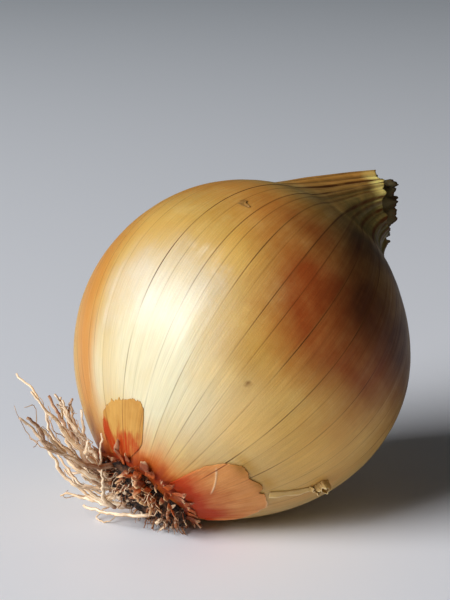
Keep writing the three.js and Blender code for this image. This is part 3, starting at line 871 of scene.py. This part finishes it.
def root_points(draw, trails):
    """The points that a long root passes through, from the plate to its tip."""
    spread = (draw() + draw() - 1) * DEGREE
    turn = TRAIL_TURN + 30 * spread if trails else SWEEP_TURN + 58 * spread
    sweep = ROOT_TRAIL if trails else ROOT_SWEEP
    base = PLATE_RADIUS * (0.4 + 0.5 * draw())
    length = 10 + 10 * draw() if trails else 12 + 20 * draw()
    start = plate_point(turn, base, 0.9)
    heading = (plate_point(turn, base + 0.9, 1.9) - start).normalized()
    points = [start]
    for _ in range(ROOT_STEPS):
        wander = Vector((draw() - 0.5, draw() - 0.5, draw() - 0.5))
        heading = (heading.lerp(sweep, 0.4) + wander * 0.8).normalized()
        following = points[-1] + heading * length / ROOT_STEPS
        from_centre = following - CENTRE
        if from_centre.length < ROOT_CLEARANCE:
            following = CENTRE + from_centre.normalized() * ROOT_CLEARANCE
        following.z = max(following.z, ROOT_THICKNESS)
        points.append(following)
    return points


# %% Long roots, and fine rootlets beside them
ROOTLETS = 22
# The nearest roots are listed one by one, in millimetres, each with its radius. One crosses the plate
# upright, three lie low before it, and the last is a thin loop on the table.
FRONT_ROOTS = [
    ([(-28.0, -19.5, 6), (-30.0, -22.5, 9), (-30.3, -24.0, 15), (-30.5, -24.0, 20), (-30.2, -23, 24)], 0.5),
    ([(-25.6, -16.0, 5.2), (-31.0, -16.0, 6.6), (-36.4, -15.0, 10.6), (-41.0, -13.0, 16.2)], 0.6),
    ([(-24.5, -14.5, 4.4), (-30.0, -14.5, 4.8), (-35.5, -13.0, 7.6), (-39.5, -12.0, 12.4)], 0.5),
    ([(-19.5, -21.0, 5.0), (-24.5, -20.0, 4.2), (-30.0, -17.0, 4.0), (-35.5, -14.0, 4.6)], 0.55),
    ([(-29.0, -12, 4), (-32.2, -10, 1.3), (-31.9, -12.5, 0.5), (-29.6, -13, 0.5), (-28.2, -10.8, 1.4)], 0.24),
]


def build_roots():
    bm = bmesh.new()
    layers = fibre_layers(bm)
    draw = random_from(24)
    fine = random_from(31)
    courses = []
    for i in range(ROOTS):
        radius = ROOT_THICKNESS / 2 * (0.8 + 0.4 * draw())
        points = root_points(draw, i % 6 == 5)
        courses.append(points)
        washed = 0.25 + 0.75 * fine()
        add_strand(bm, layers, points, lambda t: radius * (1.35 - 0.85 * t), 30, 8, 0.7,
                   lambda t: 0.05 + washed * smooth(t * 2.5))
    for points, radius in FRONT_ROOTS:
        points = [Vector(point) for point in points]
        add_strand(bm, layers, points, lambda t: radius * (1.1 - 0.6 * t), 30, 8, 0.75,
                   lambda t: 0.25 + 0.75 * smooth(t * 5))
    for i in range(ROOTLETS):
        host = courses[int(fine() * ROOTS)]
        start = 1 + int(fine() * 3)
        points = [host[start].copy()]
        for k in range(1, 5):
            wander = Vector((fine() - 0.5, fine() - 0.5, fine() - 0.5)) * 3.2
            following = host[min(start + k, ROOT_STEPS)] + wander * k * 0.45
            from_centre = following - CENTRE
            if from_centre.length < ROOT_CLEARANCE:
                following = CENTRE + from_centre.normalized() * ROOT_CLEARANCE
            following.z = max(following.z, 0.3)
            points.append(following)
        add_strand(bm, layers, points, lambda t: 0.2 - 0.12 * t, 20, 6, 0.8, lambda t: 0.55)
    close_ends(bm)
    return finish_piece("dead_roots", bm, DEAD_ROOT, "root_tuft")


ROOT_PIECE = build_roots()

# %% [markdown]
# ## Stubs, crumbs and chips
# Most roots broke off short when the onion was cleaned. Their stubs stand on the plate like bristles, pale
# where they broke. Between them lie crumbs of soil and chips of dry skin.

# %% Stubs
STUBS = 26
STUB_REACH = 1.7
BRISTLES = 130


def build_stubs():
    bm = bmesh.new()
    layers = fibre_layers(bm)
    draw = random_from(5)
    for i in range(STUBS):
        turn = i * GOLDEN_ANGLE
        share = 0.2 + 0.78 * math.sqrt((i + 0.5) / STUBS)
        foot = plate_point(turn, share * plate_edge(turn) * 0.95, 0.8)
        lean = Vector((draw() - 0.5, draw() - 0.5, draw() - 0.5))
        rise = plate_height(turn, share) + 0.2 + STUB_REACH * draw()
        tip = plate_point(turn, share * plate_edge(turn) * 1.1, rise) + lean * 2.6
        thick = ROOT_THICKNESS * (0.4 + 0.25 * draw())
        bend = foot.lerp(tip, 0.5) + Vector((lean.y, lean.z, lean.x)) * 0.8
        add_strand(bm, layers, [foot, bend, tip], lambda t: thick * (1 - 0.3 * t), 7, 8, 0.8,
                   lambda t: smooth((t - 0.3) / 0.5) * (0.95 if i % 8 == 3 else 0.12))
    for i in range(BRISTLES):
        turn = 2 * math.pi * draw()
        share = 0.25 + 0.75 * math.sqrt(draw())
        spot = plate_point(turn, share * plate_edge(turn), plate_height(turn, share) - 0.2)
        points = [spot]
        heading = TO_ROOT + (spot - plate_point(0, 0, 0)).normalized() * 0.5
        for _ in range(3):
            heading = (heading + Vector((draw() - 0.5, draw() - 0.5, draw() - 0.5)) * 1.6).normalized()
            points.append(points[-1] + heading * (0.5 + 1.1 * draw()))
        thick = 0.07 + 0.15 * draw()
        pale = smooth((draw() - 0.35) / 0.3) * (1 - 0.85 * toward(turn, 100, 60))
        add_strand(bm, layers, points, lambda t: thick * (1.1 - 0.6 * t), 9, 6, 0.8, lambda t: pale)
    close_ends(bm)
    return finish_piece("root_stubs", bm, DEAD_ROOT)


STUB_PIECE = build_stubs()

# %% Crumbs and chips
CRUMBS = 150
CHIPS = 36


def add_flake(bm, layers, draw, place, size, flat, clean):
    """Add a small rough flake with its corners pushed about, turned at random."""
    added = bmesh.ops.create_icosphere(bm, subdivisions=1, radius=1)["verts"]
    turned = Matrix.Rotation(6.3 * draw(), 3, "X") @ Matrix.Rotation(6.3 * draw(), 3, "Z")
    for v in added:
        rough = Vector((draw() - 0.5, draw() - 0.5, draw() - 0.5)) * 0.7
        corner = Vector((v.co.x, v.co.y * 0.7, v.co.z * flat)) + rough * flat
        v[layers["flow"]] = corner * 2 + place
        v[layers["clean"]] = clean
        spot = place + turned @ corner * size
        spot.z = max(spot.z, 0.1)
        v.co = spot * MM


def build_flakes(name, count, seed, size, flat, material, clean):
    bm = bmesh.new()
    layers = fibre_layers(bm)
    draw = random_from(seed)
    for i in range(count):
        turn = 2 * math.pi * draw()
        share = 0.15 + 0.87 * math.sqrt(draw())
        place = plate_point(turn, share * plate_edge(turn), plate_height(turn, min(share, 1)) + 0.25)
        add_flake(bm, layers, draw, place, size * (0.5 + draw()), flat, clean * draw())
    return finish_piece(name, bm, material, smooth_shading=False)


build_flakes("soil_crumbs", CRUMBS, 41, 0.55, 0.7, CORK, 0.0)
build_flakes("dry_chips", CHIPS, 42, 0.62, 0.25, DEAD_ROOT, 1.2)

# %% [markdown]
# ## Scales round the root plate
# The lowest skins have rotted away at the root and left short dry scales that stand round the plate. Each
# is a small grid bent onto the bulb, narrow at its tip, and lifted more the further it is from its foot.

# %% Dry scales
SCALES = 56
INNER_SCALES = 60
INNER_TURN = -48
INNER_SPREAD = 85
SCALE_WALL = 0.13


def build_scales():
    bm = bmesh.new()
    layers = skin_layers(bm, ("red", "edge"))
    draw = random_from(61)
    for i in range(SCALES):
        middle_turn = 2 * math.pi * (i + 1.6 * draw()) / SCALES
        foot = (14.5 + 2.5 * draw()) * DEGREE
        length = (2 + 6 * draw() ** 2) * DEGREE
        width = (0.25 + 1.0 * draw() ** 2) / PLATE_RADIUS
        rise, roll, redness = 0.4 + 1.9 * draw(), 2.2 * (draw() - 0.5), draw()
        shorter = 1 - 0.6 * toward(middle_turn, 15, 35)
        length, rise = length * shorter, rise * shorter
        added = bmesh.ops.create_grid(bm, x_segments=5, y_segments=8, size=1)["verts"]
        for v in added:
            x, t = v.co.x, (v.co.y + 1) / 2
            torn_tip = 0.25 * noise.noise(Vector((3 * x + i, 0, 0)))
            turn = middle_turn + width * (x * (1 - 0.75 * t * t) + roll * 0.5 * t * t)
            angle = foot + length * t * (1 + torn_tip)
            s = (angle - PLATE_ANGLE) / (SHOULDER_ANGLE - PLATE_ANGLE)
            lift = 0.5 + rise * t * t + 0.35 * roll * x * t
            v[layers["flow"]] = Vector((6 * x + i, 0, 8 * t))
            v[layers["vein"]] = 1.0
            v[layers["red"]] = redness * (1.1 - t)
            v[layers["edge"]] = 0.7 * smooth((t - 0.6) / 0.4) * (1 - redness)
            place = skin_point(turn, s, 0, lift)
            place.z = max(place.z, 0.1)
            v.co = place * MM
    for i in range(INNER_SCALES):
        middle_turn = (INNER_TURN + INNER_SPREAD * (draw() + draw() - 1)) * DEGREE
        base = PLATE_RADIUS * (0.3 + 0.65 * draw())
        length, width = 1.0 + 2.2 * draw(), 0.25 + 0.65 * draw()
        lean, roll, redness = 0.2 + 0.9 * draw(), 1.6 * (draw() - 0.5), draw()
        added = bmesh.ops.create_grid(bm, x_segments=4, y_segments=6, size=1)["verts"]
        for v in added:
            x, t = v.co.x, (v.co.y + 1) / 2
            across = width * x * (1 - 0.7 * t * t) + roll * t * t
            out = plate_height(middle_turn, min(base / PLATE_RADIUS, 1)) - 0.7 + length * t * (1.2 - 0.5 * lean * t)
            v[layers["flow"]] = Vector((6 * x - i, 0, 8 * t))
            v[layers["vein"]] = 1.0
            v[layers["red"]] = 0.9 * redness * (1.2 - t)
            v[layers["edge"]] = (0.3 + 0.7 * (1 - redness)) * smooth((t - 0.35) / 0.5)
            place = plate_point(middle_turn + across / max(base, 3), base + length * lean * t, out)
            place.z = max(place.z, 0.1)
            v.co = place * MM
    bmesh.ops.recalc_face_normals(bm, faces=bm.faces)
    bmesh.ops.solidify(bm, geom=bm.faces, thickness=SCALE_WALL * MM)
    return finish_piece("root_scales", bm, SCALE_SKIN)


SCALES_PIECE = build_scales()

# %% [markdown]
# ## Scraps of older skin
# Two scraps of the next older skin still hang on at the root. Each is a flat grid, bent onto the bulb at a
# small lift. One edge of the grid follows the root plate and the other a torn outline, which is given by a
# few corners and roughened by noise. Solidify gives the sheet its real thickness, a fifth of a millimetre.

# %% Scrap helper
SCRAP_ANGLE = 17.5
SCRAP_WALL = 0.12


def reach_between(corners, share):
    """How far an outline reaches at a share of its width, between corners of (share, reach)."""
    after = next(k for k in range(1, len(corners)) if corners[k][0] >= share or k == len(corners) - 1)
    (place0, reach0), (place1, reach1) = corners[after - 1], corners[after]
    return reach0 + (reach1 - reach0) * (share - place0) / (place1 - place0)


def build_scrap(name, turns, corners, ruffle, lift, shades, rows, columns, material, replaces=None,
                start=SCRAP_ANGLE, taper=0):
    """Shades give each stored number from the place on the scrap: row share, column share, turn, angle.

    The taper is how many degrees narrower the scrap is at its foot."""
    bm = bmesh.new()
    layers = skin_layers(bm, tuple(shades))
    bmesh.ops.create_grid(bm, x_segments=columns, y_segments=rows, size=1)
    first, last = turns
    for v in bm.verts:
        c, r = (v.co.x + 1) / 2, (v.co.y + 1) / 2
        reach = reach_between(corners, c) + ruffle * noise.noise(Vector((22 * c, 0, 2)))
        reach += 0.5 * ruffle * noise.noise(Vector((75 * c, 0, 5)))
        turn = (first + (last - first - taper * (1 - r) ** 2) * c) * DEGREE
        angle = (start + (reach - start) * r) * DEGREE
        s = (angle - PLATE_ANGLE) / (SHOULDER_ANGLE - PLATE_ANGLE)
        panel, share = panel_of(turn)
        store_skin(v, layers, turn, s, panel, share, faint_vein=False)
        for shade, rule in shades.items():
            v[layers[shade]] = rule(r, c, turn / DEGREE, angle / DEGREE)
        place = skin_point(turn, s, fine_relief(turn, s, panel, share), lift(r, c, turn, s))
        place.z = max(place.z, 0.05)
        v.co = place * MM
    bmesh.ops.recalc_face_normals(bm, faces=bm.faces)
    bmesh.ops.solidify(bm, geom=bm.faces, thickness=SCRAP_WALL * MM)
    return finish_piece(name, bm, material, replaces)


def near(turn, angle, spot_turn, spot_angle, turn_spread, angle_spread):
    return bell(turn - spot_turn, turn_spread) * bell(angle - spot_angle, angle_spread)


# %% Salmon flap
def flap_crease(turn, angle):
    """1 along a short crease that crosses the flap, and less beside it."""
    return bell(angle - 34 + 0.5 * (turn + 15), 0.3) * smooth((turn + 18) / 4) * smooth((2 - turn) / 6)


def flap_lift(r, c, turn, s):
    """It clings at the root and stands off along its lower right edge."""
    angle = (PLATE_ANGLE + (SHOULDER_ANGLE - PLATE_ANGLE) * s) / DEGREE
    wave = 0.16 * noise.noise(Vector((9 * c, 4 * r, 1)))
    return 0.2 + 0.45 * r * r * smooth((c - 0.5) / 0.4) + 0.12 * flap_crease(turn / DEGREE, angle) + wave * r


build_scrap(
    "salmon_flap", (-27, 45),
    [(0, 18), (0.03, 24), (0.08, 32), (0.125, 36), (0.17, 38.5), (0.21, 40.5), (0.29, 42), (0.35, 41.2),
     (0.38, 40), (0.43, 42), (0.5, 42.5), (0.555, 40.2), (0.6, 41.7), (0.72, 41), (0.775, 40.4), (0.79, 38.8),
     (0.833, 37.2), (0.86, 35.2), (0.903, 33.6), (0.93, 31), (0.958, 29.5), (0.98, 26), (1, 21)],
    ruffle=0.9, lift=flap_lift, rows=110, columns=190, material=SALMON_SKIN,
    replaces="skin_flap",
    shades={
        "red": lambda r, c, turn, angle: 1.4 * bell(angle - 16, 10) + 0.3 * bell(turn - 35, 14) * (1 - r),
        "stain": lambda r, c, turn, angle: 0.8 * max(near(turn, angle, -10, 41, 7, 2.3),
                                                     near(turn, angle, 6, 42.5, 6, 2.3)),
        # Pale along the lifted lower-right edge, partly the torn edge's own paleness and partly a painted
        # highlight, and pale along the crease as a painted highlight on its ridge
        "edge": lambda r, c, turn, angle: (0.6 * bell(1 - r, 0.02) * smooth((c - 0.6) / 0.1)
                                           + 0.8 * flap_crease(turn, angle)),
    },
)

# %% Clinging tongue
# How far up the tongue its red foot reaches: turn and angle from the root, in degrees
RED_FOOT = [(-106, 29.5), (-101, 30), (-97, 28), (-94, 24), (-90, 24), (-87, 26), (-84, 25.5), (-81, 27.3),
            (-78, 26), (-75, 28), (-73, 27), (-70, 25), (-64, 23)]


def red_foot(r, c, turn, angle):
    limit = reach_between(RED_FOOT, turn) + noise.noise(Vector((0.5 * turn, 0, 3)))
    limit += 0.7 * noise.noise(Vector((1.6 * turn, 0, 3)))
    streak = 0.8 + 0.6 * noise.noise(Vector((1.3 * turn, 0.12 * angle, 9)))
    return streak * (0.75 * smooth((limit - angle) / 2.6 + 0.5) + 0.25 * smooth((31 - angle) / 6))


build_scrap(
    "rusty_tongue", (-106, -64),
    [(0, 24), (0.07, 28), (0.17, 31.5), (0.26, 33.5), (0.38, 35.5), (0.6, 37.3), (0.74, 38.8), (0.86, 39.2),
     (0.93, 37), (0.96, 33), (1, 26)],
    ruffle=1.1, lift=lambda r, c, turn, s: 0.03, rows=60, columns=120, material=RUSTY_SKIN,
    replaces="skin_patch", taper=14,
    shades={
        "red": red_foot,
        "edge": lambda r, c, turn, angle: 0.8 * bell(c - 0.01, 0.025) * bell(angle - 29, 2.5),
    },
)

# %% [markdown]
# ## A small tear
# Near the top the brittle skin has cracked across its fibres, and one lip of the crack has lifted. It is
# the same kind of scrap, only a few millimetres long.

# %% Tear
build_scrap(
    "small_tear", (-76, -71), [(0, 114.8), (0.3, 116.6), (0.5, 114.9), (1, 114.2)], ruffle=0.5,
    lift=lambda r, c, turn, s: 0.02 + 0.25 * smooth((r - 0.4) / 0.6), rows=20, columns=30,
    material=STRAW_SKIN, start=113.4,
    shades={
        "stain": lambda r, c, turn, angle: 0.9 + 0.4 * bell(1 - r, 0.2),
        "edge": lambda r, c, turn, angle: 0.0,
    },
)

# %% [markdown]
# ## A curled shred
# At the front a shred of torn skin has rolled itself into a small loop against the underside, and a strip
# of the same skin runs to it from the flap. The loop is a grid: one direction runs round a spiral that lies
# on the skin, and the other stands up from it. The strip is a narrow scrap that stands off on one side.

# %% Curled shred
CURL_TURN = 27 * DEGREE
CURL_PLACE = 0.335
CURL_LOOPS = 1.3
CURL_RADIUS = 2.8
CURL_WIDTH = 2.5
SHRED_WALL = 0.14


def build_curl():
    bm = bmesh.new()
    layers = skin_layers(bm, ("stain", "edge"))
    bmesh.ops.create_grid(bm, x_segments=90, y_segments=24, size=1)
    middle = skin_point(CURL_TURN, CURL_PLACE)
    outward = (middle - CENTRE).normalized()
    along = (skin_point(CURL_TURN, CURL_PLACE + 0.02) - middle).normalized()
    down = outward.cross(along)
    for v in bm.verts:
        t, w = (v.co.x + 1) / 2, (v.co.y + 1) / 2
        a = 2 * math.pi * CURL_LOOPS * t + 2.4
        lumps = noise.noise(Vector((2.5 * math.cos(a), 2.5 * math.sin(a), 3 * t)))
        lumps += 0.6 * noise.noise(Vector((6 * math.cos(a), 6 * math.sin(a), 2 * w)))
        radius = CURL_RADIUS * (1 - 0.55 * t) * (1 + 0.3 * lumps) - 0.6 * w * w
        torn_edge = 0.3 * noise.noise(Vector((14 * t, 0, 6)))
        height = -0.4 + CURL_WIDTH * w * (0.55 + 0.45 * math.sin(math.pi * t) + torn_edge)
        v[layers["flow"]] = Vector((6 * w, 0, 16 * t))
        v[layers["vein"]] = 1.0
        v[layers["edge"]] = 0.5 * smooth((w - 0.8) / 0.2)
        v[layers["stain"]] = 0.55 * (1 - w)
        place = middle + (along * math.cos(a) + down * math.sin(a) * 0.8) * radius + outward * height
        place.z = max(place.z, 0.1)
        v.co = place * MM
    bmesh.ops.recalc_face_normals(bm, faces=bm.faces)
    bmesh.ops.solidify(bm, geom=bm.faces, thickness=SHRED_WALL * MM)
    return finish_piece("curled_shred", bm, STRAW_SKIN)


CURL = build_curl()

# %% Strip from the flap to the shred
STRIP_PATH = [(17, 43), (20, 47), (22.5, 50.5), (24.5, 54), (26, 57)]
STRIP_HALF = 0.95


def build_strip():
    bm = bmesh.new()
    layers = skin_layers(bm, ("stain", "edge"))
    bmesh.ops.create_grid(bm, x_segments=60, y_segments=8, size=1)
    path = []
    for turn, angle in STRIP_PATH:
        s = (angle * DEGREE - PLATE_ANGLE) / (SHOULDER_ANGLE - PLATE_ANGLE)
        path.append(skin_point(turn * DEGREE, s, 0, 0.3))
    for v in bm.verts:
        t, y = (v.co.x + 1) / 2, v.co.y
        middle = curve_through(path, t)
        tangent = (curve_through(path, min(t + 0.02, 1)) - curve_through(path, max(t - 0.02, 0))).normalized()
        outward = (middle - CENTRE).normalized()
        down = tangent.cross(outward).normalized()
        half = STRIP_HALF * (0.8 + 0.5 * noise.noise(Vector((5 * t, 0, 8)))) * (1 - 0.5 * t**4)
        stands = 0.3 * (1 + y) ** 2 * (0.35 + 0.3 * noise.noise(Vector((4 * t, 1, 0))))
        v[layers["flow"]] = Vector((2 * y, 0, 16 * t))
        v[layers["vein"]] = 1.0
        v[layers["edge"]] = 0.6 * smooth((y - 0.5) / 0.5)
        v[layers["stain"]] = 0.35 * smooth(-y)
        v.co = (middle + down * y * half + outward * stands) * MM
    bmesh.ops.recalc_face_normals(bm, faces=bm.faces)
    bmesh.ops.solidify(bm, geom=bm.faces, thickness=SHRED_WALL * MM)
    return finish_piece("torn_strip", bm, STRAW_SKIN)


STRIP = build_strip()

# %% [markdown]
# ## The table, the light and the camera
# The onion lies on a pale, smooth table. One very large, soft window light stands to the left and in
# front, low enough to reach under the bulb, so the shade falls to the right and back. The camera looks
# down by 15 degrees from 430 mm, and its small turn and tilt set the onion low in the picture.

# %% Table
def pale_table():
    material, tree, shader = start_material("pale_matt_laminate")
    place = add(tree, "ShaderNodeTexCoord", output=3)
    grain = add(tree, "ShaderNodeTexNoise", {"Vector": place, "Scale": 900.0, "Detail": 2.0})
    axes = tree.nodes.new("ShaderNodeSeparateXYZ")
    tree.links.new(place, axes.inputs[0])
    # Painted light: the table grows paler and bluer towards the back, standing in for the cool room light that
    # takes over there as the window's light falls off
    away = add(tree, "ShaderNodeMapRange", {0: axes.outputs[1], 1: -0.1, 2: 1.6})
    colour = add(tree, "ShaderNodeMix", {0: away, MIX_A: paint("#ECEDF1"), MIX_B: paint("#F4FAFF")},
                 output=MIX_RESULT, data_type="RGBA")
    tree.links.new(colour, shader.inputs["Base Color"])
    bump = add(tree, "ShaderNodeBump", {"Strength": 0.1, "Distance": 0.02 * MM, "Height": grain})
    tree.links.new(bump, shader.inputs["Normal"])
    shader.inputs["Roughness"].default_value = 0.55
    return material


TABLE_HALF = 3.0
bm = bmesh.new()
bmesh.ops.create_grid(bm, x_segments=8, y_segments=8, size=TABLE_HALF)
table_mesh = bpy.data.meshes.new("table")
bm.to_mesh(table_mesh)
bm.free()
table_mesh.materials.append(pale_table())
table = bpy.data.objects.new("table", table_mesh)
table.location.z = -0.02 * MM
bpy.context.scene.collection.objects.link(table)
print("table:", tuple(round(d, 2) for d in table.dimensions), "m")

# %% Camera
PICTURE_WIDTH = 450
PICTURE_HEIGHT = 600
SENSOR = 36.0
CAMERA_DISTANCE = 430 * MM
CAMERA_PITCH = 15 * DEGREE
BULB_PIXEL = (243, 349)
BULB_PIXELS = 170
TOWARDS_CAMERA = Vector((0, -math.cos(CAMERA_PITCH), math.sin(CAMERA_PITCH)))
FOCAL_PIXELS = BULB_PIXELS / math.tan(math.asin(BULB_RADIUS * MM / CAMERA_DISTANCE))


def place_camera():
    data = bpy.data.cameras.new("camera")
    data.sensor_width = SENSOR
    data.lens = FOCAL_PIXELS * SENSOR / PICTURE_HEIGHT
    data.clip_start = 0.01
    data.clip_end = 20
    camera = bpy.data.objects.new("camera", data)
    bpy.context.scene.collection.objects.link(camera)
    right = Vector((1, 0, 0))
    up = TOWARDS_CAMERA.cross(right)
    yaw = math.atan((BULB_PIXEL[0] - PICTURE_WIDTH / 2) / FOCAL_PIXELS)
    pitch = math.atan((BULB_PIXEL[1] - PICTURE_HEIGHT / 2) / FOCAL_PIXELS)
    ahead = -TOWARDS_CAMERA * math.cos(yaw) - right * math.sin(yaw)
    across = right * math.cos(yaw) - TOWARDS_CAMERA * math.sin(yaw)
    look = ahead * math.cos(pitch) + up * math.sin(pitch)
    top = up * math.cos(pitch) - ahead * math.sin(pitch)
    turned = Matrix((across, top, -look)).transposed().to_4x4()
    camera.matrix_world = Matrix.Translation(CENTRE * MM + TOWARDS_CAMERA * CAMERA_DISTANCE) @ turned
    bpy.context.scene.camera = camera
    print("lens:", round(data.lens, 1), "mm")


place_camera()


# %% Light
def soft_light(name, direction, distance, width, height, power, colour, mirrored=True):
    """A rectangular light that looks at the bulb from a direction. Sizes are in metres."""
    data = bpy.data.lights.new(name, "AREA")
    data.shape = "RECTANGLE"
    data.size = width
    data.size_y = height
    data.energy = power
    data.color = paint(colour)[:3]
    light = bpy.data.objects.new(name, data)
    light.visible_glossy = mirrored
    bpy.context.scene.collection.objects.link(light)
    offset = Vector(direction).normalized() * distance
    light.location = CENTRE * MM + offset
    light.rotation_euler = (-offset).to_track_quat("-Z", "Y").to_euler()
    print(name, "at", [round(c, 2) for c in light.location])


soft_light("window", (-0.735, -0.51, 0.50), 2.4, 1.7, 1.2, 90.0, "#FBFCFF")
soft_light("card", (0.66, -0.75, 0.0), 1.3, 1.0, 0.5, 3.2, "#FFDFAE", mirrored=False)
world = bpy.data.worlds.new("soft_room")
world.use_nodes = True
world.node_tree.nodes["Background"].inputs["Color"].default_value = paint("#B9C2CC")
world.node_tree.nodes["Background"].inputs["Strength"].default_value = 0.065
bpy.context.scene.world = world
bpy.context.scene.view_settings.view_transform = "Standard"
